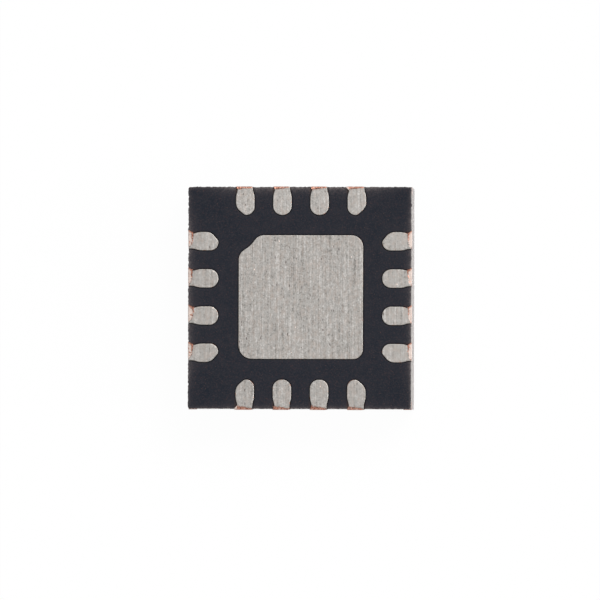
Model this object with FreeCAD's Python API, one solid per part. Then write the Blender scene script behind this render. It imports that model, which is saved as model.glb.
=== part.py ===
import FreeCAD, Part
import math
import os

# A leadless 16-terminal chip package, lying on its marked face with its terminals up.
# Lengths are in millimetres. The origin is the middle of the marked face, +Z points out of
# the terminal side, and the pin 1 notch is in the corner at -X, +Y.

Vec = FreeCAD.Vector

# The sawn block
body_x = 3.00
body_y = 2.99
mould_h = 0.835

# The leadframe: one copper sheet, etched through and half-etched from the terminal side
frame_t = 0.20
half_etch_t = 0.10
frame_shift_x = 0.012
frame_shift_y = 0.014

# The lands, four a side
pitch = 0.50
lands_a_side = 4
land_len = 0.388
land_w = 0.248
neck_w = 0.204
neck_len = 0.055
flare_len = 0.085
flare_r = 0.25
tip_r = 0.12

# The slanted inner end of the lands beside a corner
slant_len = 0.103
slant_start_r = 0.15
slant_end_r = 0.055
slant_tip_r = 0.11

# The hidden lip that locks each lead into the mould
lip_reach = 0.07
lip_overhang = 0.03
lip_back = 0.16
lip_r = 0.05

# The exposed pad, its notch for pin 1, its hidden rim and its tie bars
pad_x = 1.672
pad_y = 1.662
pad_corner_r_upper_right = 0.165
pad_corner_r_lower_right = 0.138
pad_corner_r_lower_left = 0.190
notch_leg = 0.265
notch_dip = 0.038
notch_end_r = 0.15
notch_mid_r = 0.40
rim_overhang = 0.08
tie_bar_w = 0.15

# The tin skin and the strip of bare copper that the saw leaves, deepest where the blade drags
tin_t = 0.015
bare_deep = 0.050
bare_shallow = 0.014

# The silicon and its glue
die_x = 1.20
die_y = 1.20
die_t = 0.20
glue_t = 0.020
glue_margin = 0.03

# The bond wires
wire_d = 0.025
ball_d = 0.068
ball_t = 0.014
ball_inset = 0.070
ball_pitch = 0.27
loop_rise = 0.090
loop_flat = 0.16
rise_bend_r = 0.040
fall_bend_r = 0.12
stitch_inset = 0.050

# The pin 1 dot on the marked face
dot_d = 0.36
dot_depth = 0.020
dot_inset = 0.42

# Levels, counted up from the marked face
lead_floor = mould_h - frame_t
half_etch_top = lead_floor + half_etch_t
glue_floor = lead_floor - glue_t
die_floor = glue_floor - die_t

# A length that reaches past whatever it cuts
past = 1.0

# How far a wire runs on into its lead before it is cut off flush
stitch_run_on = 2 * wire_d


def bend_reach(last, corner, after, radius):
    """How far from the corner an arc of this radius touches the two runs that meet there."""
    half_angle = (last - corner).getAngle(after - corner) / 2
    return radius / math.tan(half_angle)


def bend(last, corner, after, reach):
    """The arc that rounds a corner, with the places where it starts and stops."""
    to_last = (last - corner).normalize()
    to_next = (after - corner).normalize()
    half_angle = to_last.getAngle(to_next) / 2
    radius = reach * math.tan(half_angle)
    centre_way = (to_last + to_next).normalize()
    start = corner + to_last * reach
    middle = corner + centre_way * (radius / math.sin(half_angle) - radius)
    stop = corner + to_next * reach
    return start, Part.Arc(start, middle, stop).toShape(), stop


def fitted_runs(corners):
    """For each corner, how far its arc reaches along its two runs, held back where runs are short."""
    count = len(corners)
    points = [Vec(x, y, 0) for x, y, r in corners]
    reach = []
    for i in range(count):
        reach.append(bend_reach(points[i - 1], points[i], points[(i + 1) % count], corners[i][2]))
    share = [1.0] * count
    for i in range(count):
        j = (i + 1) % count
        asked = reach[i] + reach[j]
        run = points[i].distanceToPoint(points[j])
        if asked > 0.98 * run:
            limit = 0.98 * run / asked
            share[i] = min(share[i], limit)
            share[j] = min(share[j], limit)
    return points, [a * b for a, b in zip(reach, share)]


def rounded_face(corners):
    """A flat face from (x, y, radius) corners: straight runs joined by tangent arcs."""
    points, reach = fitted_runs(corners)
    count = len(points)
    edges = []
    ends = []
    for i in range(count):
        start = points[i]
        stop = points[i]
        if reach[i] > 0:
            start, arc, stop = bend(points[i - 1], points[i], points[(i + 1) % count], reach[i])
            edges.append(arc)
        ends.append((start, stop))
    for i in range(count):
        run_start = ends[i][1]
        run_stop = ends[(i + 1) % count][0]
        edges.append(Part.LineSegment(run_start, run_stop).toShape())
    return Part.Face(Part.Wire(Part.__sortEdges__(edges)))


def slab(face, low, high):
    """A flat face pushed up from one level to another."""
    solid = face.extrude(Vec(0, 0, high - low))
    solid.translate(Vec(0, 0, low))
    return solid


def placed(shape, side=0):
    """A shape drawn about the leadframe's middle for the +Y side, turned clockwise to its side."""
    shape.rotate(Vec(0, 0, 0), Vec(0, 0, 1), -90 * side)
    shape.translate(Vec(frame_shift_x, frame_shift_y, 0))
    return shape


def half_body(side):
    """From the block's middle to its sawn wall on this side: +Y, +X, -Y, -X."""
    return (body_y if side % 2 == 0 else body_x) / 2


def sawn_edge(side):
    """From the leadframe's middle to the sawn wall, as the frame lies a little off the block's middle."""
    shift = (frame_shift_y, frame_shift_x, -frame_shift_y, -frame_shift_x)[side]
    return half_body(side) - shift


def drag_side(side):
    """Which edge of a land the blade drags its copper to: always the one at -X or +Y."""
    return -1 if side < 2 else 1


def across(slot, apart=pitch):
    """A land's place along its side, counted clockwise, or a ball's with the distance between balls."""
    return (slot - (lands_a_side - 1) / 2) * apart


def corner_side(slot):
    """Which edge of a land faces the package corner: -1, 1, or 0 for a land in the middle."""
    if slot == 0:
        return -1
    if slot == lands_a_side - 1:
        return 1
    return 0


def inner_end(tip, half_w, faces_corner, run, round_r):
    """Corners of a land's or lip's inner end, from its -v edge to its +v edge."""
    if faces_corner == 0:
        return [(-half_w, tip, round_r), (half_w, tip, round_r)]
    end = [
        (-half_w, tip + run, slant_start_r),
        (0, tip, slant_end_r),
        (half_w, tip, min(slant_tip_r, round_r)),
    ]
    if faces_corner > 0:
        end = [(-v, r, radius) for v, r, radius in reversed(end)]
    return end


def land_face(side, slot):
    """A land: neck at the saw cut, S-shaped flare, bulb and round or slanted inner end."""
    half = half_body(side)
    neck_end = half - neck_len
    flare_end = neck_end - flare_len
    edge = sawn_edge(side)
    minus_edge = [
        (-neck_w / 2, edge, 0),
        (-neck_w / 2, neck_end, flare_r),
        (-land_w / 2, flare_end, flare_r),
    ]
    plus_edge = [(-v, r, radius) for v, r, radius in reversed(minus_edge)]
    tip = half - land_len
    end = inner_end(tip, land_w / 2, corner_side(slot), slant_len, tip_r)
    face = rounded_face(minus_edge + end + plus_edge)
    face.translate(Vec(across(slot), 0, 0))
    return face


def lip_face(side, slot):
    """The half-etched lip: wider than the land and nearer the paddle."""
    half = half_body(side)
    half_w = land_w / 2 + lip_overhang
    tip = half - land_len - lip_reach
    back = half - lip_back
    run = slant_len + lip_reach
    end = inner_end(tip, half_w, corner_side(slot), run, lip_r)
    face = rounded_face([(-half_w, back, lip_r)] + end + [(half_w, back, lip_r)])
    face.translate(Vec(across(slot), 0, 0))
    return face


def lead(side, slot):
    """One copper lead: its post, as deep as the frame, and its hidden lip."""
    post = slab(land_face(side, slot), lead_floor, mould_h)
    lip = slab(lip_face(side, slot), lead_floor, half_etch_top)
    return placed(post.fuse(lip).removeSplitter(), side)


def bare_strip(side, slot):
    """Covers the stretch of a land beside the saw cut that lost its tin: a strip with a slanted border."""
    edge = sawn_edge(side)
    mean = (bare_deep + bare_shallow) / 2
    spread = drag_side(side) * (bare_deep - bare_shallow) / 2 * land_w / neck_w
    corners = [
        (-land_w / 2, edge - mean + spread, 0),
        (land_w / 2, edge - mean - spread, 0),
        (land_w / 2, edge + past, 0),
        (-land_w / 2, edge + past, 0),
    ]
    strip = slab(rounded_face(corners), mould_h, mould_h + tin_t)
    strip.translate(Vec(across(slot), 0, 0))
    return strip


def lead_plating(side, slot):
    """The tin on one land, torn back from the saw cut along a slanted line."""
    skin = slab(land_face(side, slot), mould_h, mould_h + tin_t)
    return placed(skin.cut(bare_strip(side, slot)), side)


def pad_face(grow):
    """The exposed pad with three round corners and the pin 1 notch, grown outwards by a margin."""
    half_x = pad_x / 2 + grow
    half_y = pad_y / 2 + grow
    low = (-half_x, half_y - notch_leg)
    high = (-half_x + notch_leg, half_y)
    inwards = notch_dip / math.sqrt(2)
    dip = ((low[0] + high[0]) / 2 + inwards, (low[1] + high[1]) / 2 - inwards)
    return rounded_face([
        (half_x, half_y, pad_corner_r_upper_right + grow),
        (half_x, -half_y, pad_corner_r_lower_right + grow),
        (-half_x, -half_y, pad_corner_r_lower_left + grow),
        (low[0], low[1], notch_end_r),
        (dip[0], dip[1], notch_mid_r),
        (high[0], high[1], notch_end_r),
    ])


def tie_bar(sign_x, sign_y):
    """A half-etched bar from the paddle's middle to one corner of the block."""
    run_x = sign_x * body_x / 2 - frame_shift_x
    run_y = sign_y * body_y / 2 - frame_shift_y
    length = math.hypot(run_x, run_y) + tie_bar_w
    bar = Part.makeBox(length, tie_bar_w, half_etch_t, Vec(0, -tie_bar_w / 2, lead_floor))
    bar.rotate(Vec(0, 0, 0), Vec(0, 0, 1), math.degrees(math.atan2(run_y, run_x)))
    return bar


def block():
    """The plain sawn block before anything is let into it."""
    return Part.makeBox(body_x, body_y, mould_h, Vec(-body_x / 2, -body_y / 2, 0))


def die_pad():
    """The paddle: exposed core, hidden rim and four tie bars, sawn off with the block."""
    core = slab(pad_face(0), lead_floor, mould_h)
    rim = slab(pad_face(rim_overhang), lead_floor, half_etch_top)
    bars = [tie_bar(sx, sy) for sx in (-1, 1) for sy in (-1, 1)]
    paddle = placed(core.fuse([rim] + bars))
    return paddle.common(block()).removeSplitter()


def pad_plating():
    """The tin on the exposed pad."""
    return placed(slab(pad_face(0), mould_h, mould_h + tin_t))


def centred_box(size_x, size_y, low, high):
    """A box about the leadframe's middle between two levels."""
    return placed(Part.makeBox(size_x, size_y, high - low, Vec(-size_x / 2, -size_y / 2, low)))


def die():
    """The silicon, under the paddle as the part lies here."""
    return centred_box(die_x, die_y, die_floor, glue_floor)


def die_attach():
    """The film of glue between silicon and paddle."""
    size_x = die_x + 2 * glue_margin
    size_y = die_y + 2 * glue_margin
    return centred_box(size_x, size_y, glue_floor, lead_floor)


def wire_path(span, drop):
    """The wire's centre line in its own plane: out of the ball, over a bend and down to the lead."""
    corners = [
        Vec(0, 0, 0),
        Vec(0, 0, -loop_rise),
        Vec(loop_flat, 0, -loop_rise),
        Vec(span, 0, drop),
    ]
    fall = (corners[3] - corners[2]).normalize()
    corners[3] = corners[3] + fall * stitch_run_on
    edges = []
    start = corners[0]
    for i, radius in ((1, rise_bend_r), (2, fall_bend_r)):
        reach = bend_reach(corners[i - 1], corners[i], corners[i + 1], radius)
        bend_start, arc, bend_stop = bend(corners[i - 1], corners[i], corners[i + 1], reach)
        edges.append(Part.LineSegment(start, bend_start).toShape())
        edges.append(arc)
        start = bend_stop
    edges.append(Part.LineSegment(start, corners[3]).toShape())
    return Part.Wire(edges)


def bond_wire(side, slot):
    """One wire: a flat ball on the die, a low loop, and a stitch cut flush on the lead."""
    die_edge = (die_y if side % 2 == 0 else die_x) / 2
    ball = Vec(across(slot, ball_pitch), die_edge - ball_inset, die_floor)
    stitch = Vec(across(slot), half_body(side) - land_len + stitch_inset, lead_floor)
    plan = Vec(stitch.x - ball.x, stitch.y - ball.y, 0)
    path = wire_path(plan.Length, lead_floor - die_floor)
    section = Part.Wire(Part.makeCircle(wire_d / 2, Vec(0, 0, 0), Vec(0, 0, -1)))
    wire = path.makePipeShell([section], True, True)
    foot = Part.makeCylinder(ball_d / 2, ball_t, Vec(0, 0, 0), Vec(0, 0, -1))
    wire = wire.fuse(foot)
    lead_corner = Vec(plan.Length - past / 2, -past / 2, lead_floor - die_floor)
    wire = wire.cut(Part.makeBox(past, past, past, lead_corner))
    wire.rotate(Vec(0, 0, 0), Vec(0, 0, 1), math.degrees(math.atan2(plan.y, plan.x)))
    wire.translate(ball)
    return placed(wire, side)


def pin_dot():
    """The shallow round mark on the marked face, at the pin 1 corner."""
    centre = Vec(-body_x / 2 + dot_inset, body_y / 2 - dot_inset, 0)
    return Part.makeCylinder(dot_d / 2, dot_depth, centre, Vec(0, 0, 1))


def mould_body(held):
    """The epoxy block, with a pocket that fits each piece it holds and the pin 1 dot."""
    return block().cut(held + [pin_dot()])


def single_solid(shape):
    """The one solid in a shape, so that each piece is written as a plain solid."""
    solids = shape.Solids
    if len(solids) != 1:
        raise ValueError("expected one solid, found %d" % len(solids))
    return solids[0]


def all_pieces():
    """Every piece by its name, the moulded block last because it fits round the rest."""
    pieces = {"die_pad": die_pad(), "die_attach": die_attach(), "die": die()}
    skins = {"pad_plating": pad_plating()}
    number = 0
    for side in range(4):
        for slot in range(lands_a_side):
            number += 1
            pieces["lead_%02d" % number] = lead(side, slot)
            pieces["bond_wire_%02d" % number] = bond_wire(side, slot)
            skins["lead_plating_%02d" % number] = lead_plating(side, slot)
    pieces["mould_body"] = mould_body(list(pieces.values()))
    pieces.update(skins)
    return pieces


os.makedirs("parts", exist_ok=True)
for name, shape in all_pieces().items():
    solid = single_solid(shape)
    solid.exportStep("parts/%s.step" % name)
    print("%-16s volume %.5f mm3, valid %s" % (name, solid.Volume, solid.isValid()))
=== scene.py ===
# %% [markdown]
# # A leadless chip package, terminals up
# The object is a 3 mm square of black epoxy. Seventeen tin-plated copper faces lie in its upper
# side: one large pad and four lands along each edge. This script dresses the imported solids:
# it reads their places from the frame and puts finely shaped surfaces where the solids are plain.

# %% Load the frame
import math

import bpy
import numpy as np
from mathutils import Matrix, Vector


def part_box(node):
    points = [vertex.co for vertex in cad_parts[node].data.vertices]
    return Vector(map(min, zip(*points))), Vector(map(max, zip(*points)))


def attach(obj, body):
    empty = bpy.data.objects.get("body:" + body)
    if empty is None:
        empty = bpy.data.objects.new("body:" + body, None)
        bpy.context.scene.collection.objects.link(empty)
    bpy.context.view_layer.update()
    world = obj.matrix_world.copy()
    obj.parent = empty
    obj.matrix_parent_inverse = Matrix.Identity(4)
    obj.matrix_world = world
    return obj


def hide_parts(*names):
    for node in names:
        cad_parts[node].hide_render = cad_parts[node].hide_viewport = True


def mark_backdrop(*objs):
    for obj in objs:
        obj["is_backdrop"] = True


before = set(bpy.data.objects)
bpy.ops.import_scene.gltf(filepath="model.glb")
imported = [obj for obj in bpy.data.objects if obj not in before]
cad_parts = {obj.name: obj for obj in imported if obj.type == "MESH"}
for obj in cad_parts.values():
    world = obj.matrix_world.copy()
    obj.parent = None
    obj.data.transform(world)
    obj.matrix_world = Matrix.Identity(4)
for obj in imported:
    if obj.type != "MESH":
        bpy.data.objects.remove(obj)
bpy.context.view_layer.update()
MM = 1e-3
UM = 1e-6


def um(*lengths):
    """Lengths given in thousandths of a millimetre, as metres."""
    return tuple(length * UM for length in lengths)


print("nodes:", len(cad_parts))

# %% [markdown]
# ## Sizes that come from the frame
# Nothing here is measured twice. The block's half sizes, the middle of the leadframe, the level
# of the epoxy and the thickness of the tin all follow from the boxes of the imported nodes.

# %% Read the block, the pad and the levels
HALF_X, HALF_Y, EPOXY_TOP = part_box("mould_body")[1]
pad_low, pad_high = (np.array(corner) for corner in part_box("pad_plating"))
FRAME_X, FRAME_Y, _ = (pad_low + pad_high) / 2
PAD_HALF_X, PAD_HALF_Y, _ = (pad_high - pad_low) / 2
TIN_T = pad_high[2] - pad_low[2]
print("epoxy top %.3f mm, tin %.3f mm, pad %.3f by %.3f mm" % (
    EPOXY_TOP / MM, TIN_T / MM, 2 * PAD_HALF_X / MM, 2 * PAD_HALF_Y / MM))

# %% [markdown]
# ## Meshes from arrays
# Every new piece starts as arrays: an N x 3 block of points and lists of point numbers for the
# faces. `grid_quads` numbers the faces of a grid, and `make_piece` hands the arrays to Blender,
# names the piece, hides the imported solid that it replaces and lets it ride.

# %% Grid faces and the piece maker
SHARP_TURN = math.radians(50)


def grid_quads(rows, cols, start=0, closed=False):
    """Point numbers of a grid's four-sided faces; closed joins the last column to the first."""
    across = cols if closed else cols - 1
    r, c = np.meshgrid(np.arange(rows - 1), np.arange(across), indexing="ij")
    here, below, after = r * cols, (r + 1) * cols, (c + 1) % cols
    quads = np.stack([here + c, here + after, below + after, below + c], axis=-1)
    return quads.reshape(-1, 4) + start


def new_object(name, data):
    """An object for a mesh, a lamp or a camera, put in the scene."""
    thing = bpy.data.objects.new(name, data)
    bpy.context.scene.collection.objects.link(thing)
    return thing


def make_piece(name, points, faces, materials, replaces=None, marks=None, picks=None):
    """An object at the origin from arrays of points and faces, riding on the one body.

    marks are numbers for each point, and picks says which of the materials each face takes.
    Faces are smooth shaded, apart from edges that turn by more than SHARP_TURN."""
    mesh = bpy.data.meshes.new(name)
    mesh.from_pydata(np.asarray(points).tolist(), [], [list(f) for f in faces])
    mesh.polygons.foreach_set("use_smooth", np.ones(len(mesh.polygons), bool))
    mesh.set_sharp_from_angle(angle=SHARP_TURN)
    for key, values in (marks or {}).items():
        layer = mesh.attributes.new(key, "FLOAT", "POINT")
        layer.data.foreach_set("value", np.asarray(values, np.float32))
    for material in materials:
        mesh.materials.append(material)
    if picks is not None:
        mesh.polygons.foreach_set("material_index", np.asarray(picks, np.int32))
    mesh.update()
    piece = new_object(name, mesh)
    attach(piece, "root")
    if replaces:
        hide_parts(replaces)
    return piece


print("a 3 by 4 grid has", len(grid_quads(3, 4)), "faces")

# %% [markdown]
# ## Noise and wear on arrays
# Sawn and etched surfaces are never even. A table of random numbers, read between its entries
# with a smooth weight, gives the same soft noise on each run. Adding copies of it at twice the
# frequency and half the height gives a rougher one. Dust, rims and wear change with the distance
# from some line: `ramp` rises evenly, `fade` dies away at once, and `bell` stays flat at first.

# %% Noise, ramps and fades
TABLE = 256


def smooth(t):
    """The weight 3t^2 - 2t^3, which leaves 0 and reaches 1 without a kink."""
    return t * t * (3 - 2 * t)


def soft_noise(x, y, seed):
    """Random heights from 0 to 1 on whole numbers, joined by the smooth weight both ways."""
    table = np.random.default_rng(seed).random((TABLE, TABLE))
    x0, y0 = np.floor(x).astype(int), np.floor(y).astype(int)
    tx, ty = smooth(x - x0), smooth(y - y0)
    left, right, here, above = x0 % TABLE, (x0 + 1) % TABLE, y0 % TABLE, (y0 + 1) % TABLE
    low = table[left, here] * (1 - tx) + table[right, here] * tx
    high = table[left, above] * (1 - tx) + table[right, above] * tx
    return low * (1 - ty) + high * ty


def rough_noise(x, y, seed, octaves=3):
    """Soft noise plus copies at 2, 4, ... times the frequency and 1/2, 1/4, ... the height."""
    total = sum(soft_noise(x * 2 ** k, y * 2 ** k, seed + k) / 2 ** k for k in range(octaves))
    return total / sum(1 / 2 ** k for k in range(octaves))


def ramp(value, width):
    """0 below nothing, then an even rise up to 1 at the width, and 1 from there on."""
    return np.clip(value / width, 0, 1)


def fade(distance, reach):
    """1 on a line, and e times less for every reach of distance from it."""
    return np.exp(-distance / reach)


def bell(distance, reach):
    """1 on a line, hardly less beside it, and e times less at one reach: e^-(distance / reach)^2."""
    return np.exp(-(distance / reach) ** 2)


sample = rough_noise(np.linspace(0, 40, 400), 0, 3)
print("noise runs from %.2f to %.2f" % (sample.min(), sample.max()))

# %% [markdown]
# ## Outlines with round corners
# Etched copper has no sharp corner. An outline is given by a few corners with a radius each, and
# the helper replaces each corner by the arc that touches both of its straight runs. The points
# are then spread evenly along the whole length, so that later grids are even too.

# %% Rounded outline
ARC_POINTS = 16


def even_path(path, step):
    """Spreads points evenly, about one step apart, along a closed line of straight pieces."""
    closed = np.vstack([path, path[:1]])
    length = np.concatenate([[0], np.cumsum(np.linalg.norm(np.diff(closed, axis=0), axis=1))])
    at = np.linspace(0, length[-1], int(length[-1] / step), endpoint=False)
    return np.stack([np.interp(at, length, closed[:, k]) for k in (0, 1)], axis=1)


def rounded_outline(corners, step):
    """Straight runs joined by arcs that touch both, as evenly spaced points.

    An arc of radius r in a corner of half angle h starts r / tan(h) before the corner, and its
    centre lies r / sin(h) from the corner along the line that halves it."""
    points = np.array([c[:2] for c in corners])
    path = []
    for i, (_, _, radius) in enumerate(corners):
        corner = points[i]
        back = points[i - 1] - corner
        ahead = points[(i + 1) % len(points)] - corner
        back, ahead = back / np.linalg.norm(back), ahead / np.linalg.norm(ahead)
        half = math.acos(np.clip(back @ ahead, -1, 1)) / 2
        if radius == 0:
            path.append(corner[None, :])
            continue
        middle = (back + ahead) / np.linalg.norm(back + ahead)
        centre = corner + middle * radius / math.sin(half)
        start = corner + back * radius / math.tan(half)
        stop = corner + ahead * radius / math.tan(half)
        first, last = (math.atan2(y, x) for x, y in (start - centre, stop - centre))
        turn = (last - first + math.pi) % (2 * math.pi) - math.pi
        angles = first + turn * np.linspace(0, 1, ARC_POINTS)
        path.append(centre + radius * np.stack([np.cos(angles), np.sin(angles)], axis=1))
    return even_path(np.concatenate(path), step)


square = rounded_outline([(1, 1, 0.2), (-1, 1, 0.2), (-1, -1, 0.2), (1, -1, 0.2)], 0.05)
print("a rounded square of side 2 has", len(square), "points")

# %% [markdown]
# ## The sixteen land outlines
# Each land is a bulb that narrows to a neck at the saw cut, and the lands beside a corner have
# a slanted inner end. One land is drawn for the +Y side, with its length outwards, and is then
# turned a quarter at a time. The saw left the leadframe a little off the middle of the block.

# %% Land sizes and the turn to each side
def land_name(side, slot):
    """Lands are numbered clockwise from the notch: four along +Y, then +X, -Y and -X."""
    return "%02d" % (side * 4 + slot + 1)


first_low, first_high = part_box("lead_plating_02")
LAND_W = first_high.x - first_low.x
TIP = first_low.y - FRAME_Y
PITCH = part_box("lead_plating_03")[0].x - first_low.x
NECK_W, NECK_LEN, FLARE_LEN, FLARE_R = um(204, 55, 85, 250)
TIP_R, SLANT_LEN, SLANT_TIP = um(120, 99, 4)
ETCH = um(5, 18, 0, 2)
SLANT_RADII = um(150, 55, 110)
LANDS = [(side, slot) for side in range(4) for slot in range(4)]


def half_block(side):
    """From the block's middle to the sawn wall of a side."""
    return HALF_Y if side % 2 == 0 else HALF_X


def land_tip(side):
    """From the leadframe's middle to the inner end of a side's lands, which etching left uneven."""
    return TIP + half_block(side) - HALF_Y - ETCH[side]


def wall_from_frame(side):
    """From the leadframe's middle to the sawn wall of a side."""
    return half_block(side) - (FRAME_Y, FRAME_X, -FRAME_Y, -FRAME_X)[side]


def to_side(v, r, side, slot):
    """X and Y of (across from the land's middle, outwards), a quarter turn clockwise for each side."""
    v = v + (slot - 1.5) * PITCH
    x, y = ((v, r), (r, -v), (-v, -r), (-r, v))[side]
    return np.stack([x + FRAME_X, y + FRAME_Y], axis=-1)


def land_outline(side, slot, torn=None, step=5 * UM):
    """A land's closed outline: straight neck, flare, bulb and inner end.

    The neck runs on past the wall. torn gives how far out the tin reaches for each place across
    the neck: points beyond that line are laid on it."""
    neck_end = half_block(side) - NECK_LEN
    flare_end = neck_end - FLARE_LEN
    tip = land_tip(side)
    beyond = half_block(side) + NECK_LEN
    w, n = LAND_W / 2, NECK_W / 2
    corners = [(-n, beyond, 0), (-n, neck_end, FLARE_R), (-w, flare_end, FLARE_R)]
    if slot in (0, 3):
        corners += [(-w, tip + SLANT_LEN, SLANT_RADII[0]), (-SLANT_TIP, tip, SLANT_RADII[1])]
        corners += [(w, tip, SLANT_RADII[2])]
    else:
        corners += [(-w, tip, TIP_R), (w, tip, TIP_R)]
    corners += [(w, flare_end, FLARE_R), (n, neck_end, FLARE_R), (n, beyond, 0)]
    if slot == 3:
        corners = [(-v, r, radius) for v, r, radius in reversed(corners)]
    local = rounded_outline(corners, step)
    if torn:
        local[:, 1] = np.minimum(local[:, 1], torn(local[:, 0]))
        local = even_path(local, step)
    return to_side(*local.T, side, slot)


print("land %.3f mm wide, tip at %.3f mm, pitch %.2f mm" % (LAND_W / MM, TIP / MM, PITCH / MM))

# %% Pad outline
PAD_CORNERS = um(156, 130, 184)
NOTCH_LEGS = um(241, 262)
NOTCH_DIP = 38 * UM
NOTCH_RADII = um(165, 400, 160)


def pad_outline(step=8 * UM):
    """Three round corners, and for pin 1 a corner cut off by a slightly hollow curve."""
    x, y = PAD_HALF_X, PAD_HALF_Y
    dip = NOTCH_DIP / math.sqrt(2)
    low, high = (-x, y - NOTCH_LEGS[0]), (-x + NOTCH_LEGS[1], y)
    middle = ((low[0] + high[0]) / 2 + dip, (low[1] + high[1]) / 2 - dip)
    corners = [(x, y, PAD_CORNERS[0]), (x, -y, PAD_CORNERS[1]), (-x, -y, PAD_CORNERS[2])]
    corners += [(*low, NOTCH_RADII[0]), (*middle, NOTCH_RADII[1]), (*high, NOTCH_RADII[2])]
    return rounded_outline(corners, step) + (FRAME_X, FRAME_Y)


print("pad outline has", len(pad_outline()), "points")

# %% [markdown]
# ## How far a point is from an outline
# Rims, gaps and pockets all follow an outline at some distance. The nearest outline point and
# its outward normal give that distance with a sign: below zero is inside. With points a few
# thousandths of a millimetre apart this is as good as an exact formula, and it stays one line.

# %% Distance to an outline
CHUNK = 2000


def outward_normals(outline):
    """Unit normals of a closed outline from the chord between each point's two neighbours."""
    chord = np.roll(outline, -1, axis=0) - np.roll(outline, 1, axis=0)
    normal = np.stack([chord[:, 1], -chord[:, 0]], axis=1)
    normal /= np.linalg.norm(normal, axis=1)[:, None]
    x, y = outline[:, 0], outline[:, 1]
    area = np.sum(x * np.roll(y, -1) - np.roll(x, -1) * y)
    return normal * np.sign(area)


def signed_distance(points, outline):
    """Distance from points to an outline, below zero inside, and the outward normal there."""
    normal = outward_normals(outline)
    distance = np.empty(len(points))
    nearest = np.empty(len(points), int)
    for part in np.array_split(np.arange(len(points)), max(1, len(points) // CHUNK)):
        gap = points[part, None, :] - outline[None, :, :]
        near = np.argmin((gap ** 2).sum(axis=2), axis=1)
        nearest[part] = near
        distance[part] = np.einsum("ij,ij->i", gap[np.arange(len(part)), near], normal[near])
    return distance, normal[nearest]


probe, _ = signed_distance(np.array([[FRAME_X, FRAME_Y]]), pad_outline())
print("the middle of the pad is %.3f mm inside its outline" % (-probe[0] / MM))

# %% [markdown]
# ## Materials: shared helpers
# Each finish is a small tree of procedural nodes on Object coordinates, so the pattern sits
# still on the object in every view. The helpers only save typing: `add` makes a node, `fill`
# sets or links its inputs, `mix` blends two colours, and `spots` gives scattered round marks.

# %% Node helpers
def fill(tree, node, inputs):
    """Links the inputs that are given a socket, and sets the ones that are given a value."""
    for key, value in inputs.items():
        if isinstance(value, bpy.types.NodeSocket):
            tree.links.new(value, node.inputs[key])
        else:
            node.inputs[key].default_value = value


def add(tree, kind, inputs=None, **settings):
    """Adds a node of a kind, with its settings and its inputs, and gives back its outputs."""
    node = tree.nodes.new("ShaderNode" + kind)
    for key, value in settings.items():
        setattr(node, key, value)
    fill(tree, node, inputs or {})
    return node.outputs


def new_material(name):
    """An empty material with a Principled shader on its output."""
    material = bpy.data.materials.new(name)
    material.use_nodes = True
    tree = material.node_tree
    return material, tree, tree.nodes["Principled BSDF"]


def place(tree, scale, offset=(0, 0, 0)):
    """Object coordinates through a Mapping node.

    scale is the pattern's repeats for each metre: one number, or one for each axis."""
    source = add(tree, "TexCoord")["Object"]
    scale = scale if isinstance(scale, tuple) else (scale, scale, scale)
    inputs = {"Vector": source, "Scale": scale, "Location": offset}
    return add(tree, "Mapping", inputs)[0]


def noise(tree, scale, detail, offset=(0, 0, 0), rough=0.5):
    """Noise whose features are 1 / scale metres long."""
    inputs = {"Vector": place(tree, scale, offset), "Scale": 1.0, "Detail": detail, "Roughness": rough}
    return add(tree, "TexNoise", inputs)["Fac"]


def between(tree, value, low, high, to_low=0.0, to_high=1.0):
    """Maps a value from one range to another, held at both ends."""
    inputs = {"Value": value, "From Min": low, "From Max": high, "To Min": to_low, "To Max": to_high}
    return add(tree, "MapRange", inputs, interpolation_type="SMOOTHSTEP")[0]


def math_node(tree, operation, a, b):
    """One sum on two values."""
    return add(tree, "Math", {0: a, 1: b}, operation=operation)[0]


def times(tree, a, b):
    """The product of two values."""
    return math_node(tree, "MULTIPLY", a, b)


def weighted(tree, *parts):
    """The sum of values, each times its weight."""
    total = 0.0
    for value, weight in parts:
        total = math_node(tree, "ADD", total, times(tree, value, weight))
    return total


def mix(tree, factor, a, b, weight=None):
    """Blends colour a towards colour b by a factor, which may have a weight."""
    if weight is not None:
        factor = times(tree, factor, weight)
    a, b = ((*colour, 1.0) if isinstance(colour, tuple) else colour for colour in (a, b))
    return add(tree, "Mix", {0: factor, 6: a, 7: b}, data_type="RGBA")[2]


def layered(tree, colour, *layers):
    """Lays colours over one another; each layer is a factor, a colour and, if need be, a weight."""
    for factor, other, *weight in layers:
        colour = mix(tree, factor, colour, other, *weight)
    return colour


def attribute(tree, name):
    """One number for each point, stored in the mesh."""
    return add(tree, "Attribute", attribute_name=name, attribute_type="GEOMETRY")["Fac"]


def bump(tree, height, strength, distance):
    """A normal tilted by the slope of height, where a height of 1 stands for distance."""
    inputs = {"Height": height, "Strength": strength, "Distance": distance}
    return add(tree, "Bump", inputs)[0]


def spots(tree, scale, radius, share, offset=(0, 0, 0)):
    """Round marks: 1 inside radius of a cell's middle, in that share of all cells, and 0 elsewhere."""
    inputs = {"Vector": place(tree, scale, offset), "Scale": 1.0}
    cells = add(tree, "TexVoronoi", inputs, voronoi_dimensions="3D")
    chosen = add(tree, "SeparateColor", {"Color": cells["Color"]})[0]
    near = between(tree, cells["Distance"], radius * 0.6, radius, 1.0, 0.0)
    return times(tree, near, math_node(tree, "LESS_THAN", chosen, share))


print("helpers ready")
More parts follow.
